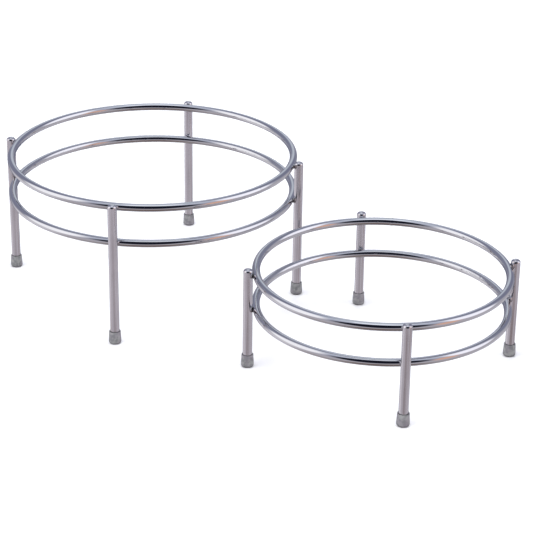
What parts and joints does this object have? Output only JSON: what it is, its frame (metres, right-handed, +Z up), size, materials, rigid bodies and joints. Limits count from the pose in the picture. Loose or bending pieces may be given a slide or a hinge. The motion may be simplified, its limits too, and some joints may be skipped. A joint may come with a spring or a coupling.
{
  "type": "nesting pan stand set",
  "caption": "Set of round bright-steel rod stands in nesting sizes: hoops welded inside upright legs with rubber end caps hold a pan, bowl or pot above a table.",
  "frame": {"origin": "on the table, at the centre of the bounding box of the two stands standing side by side", "axes": "+X runs from the large stand's axis to the small stand's axis, +Z is up, and +Y points to the back, away from a viewer who has +X to the right"},
  "size_m": [0.4688, 0.2462, 0.1215],
  "materials": {
    "hoop_steel": "bright chrome-plated steel rod, faint drawing lines along the rod",
    "leg_steel": "bright chrome-plated steel rod, slightly softer gloss than the hoops",
    "weld_steel": "plated spot-weld metal, rippled and duller than the rods",
    "cap_rubber": "matt mid-grey soft PVC or rubber, slightly mottled"
  },
  "bodies": {
    "large_stand": {"large_upper_hoop": "hoop_steel", "large_lower_hoop": "hoop_steel", "large_leg_right": "leg_steel", "large_leg_back": "leg_steel", "large_leg_left": "leg_steel", "large_leg_front": "leg_steel", "large_foot_cap_right": "cap_rubber", "large_foot_cap_back": "cap_rubber", "large_foot_cap_left": "cap_rubber", "large_foot_cap_front": "cap_rubber", "large_upper_weld_right": "weld_steel", "large_upper_weld_back": "weld_steel", "large_upper_weld_left": "weld_steel", "large_upper_weld_front": "weld_steel", "large_lower_weld_right": "weld_steel", "large_lower_weld_back": "weld_steel", "large_lower_weld_left": "weld_steel", "large_lower_weld_front": "weld_steel"},
    "small_stand": {"small_upper_hoop": "hoop_steel", "small_lower_hoop": "hoop_steel", "small_leg_back_right": "leg_steel", "small_leg_back_left": "leg_steel", "small_leg_front_left": "leg_steel", "small_leg_front_right": "leg_steel", "small_foot_cap_back_right": "cap_rubber", "small_foot_cap_back_left": "cap_rubber", "small_foot_cap_front_left": "cap_rubber", "small_foot_cap_front_right": "cap_rubber", "small_upper_weld_back_right": "weld_steel", "small_upper_weld_back_left": "weld_steel", "small_upper_weld_front_left": "weld_steel", "small_upper_weld_front_right": "weld_steel", "small_lower_weld_back_right": "weld_steel", "small_lower_weld_back_left": "weld_steel", "small_lower_weld_front_left": "weld_steel", "small_lower_weld_front_right": "weld_steel"}
  },
  "joints": [
    {"name": "small_stand_lift", "type": "slide", "parent": "large_stand", "child": "small_stand", "axis": [0, 0, 1], "range_m": [0, 0.13]}
  ]
}
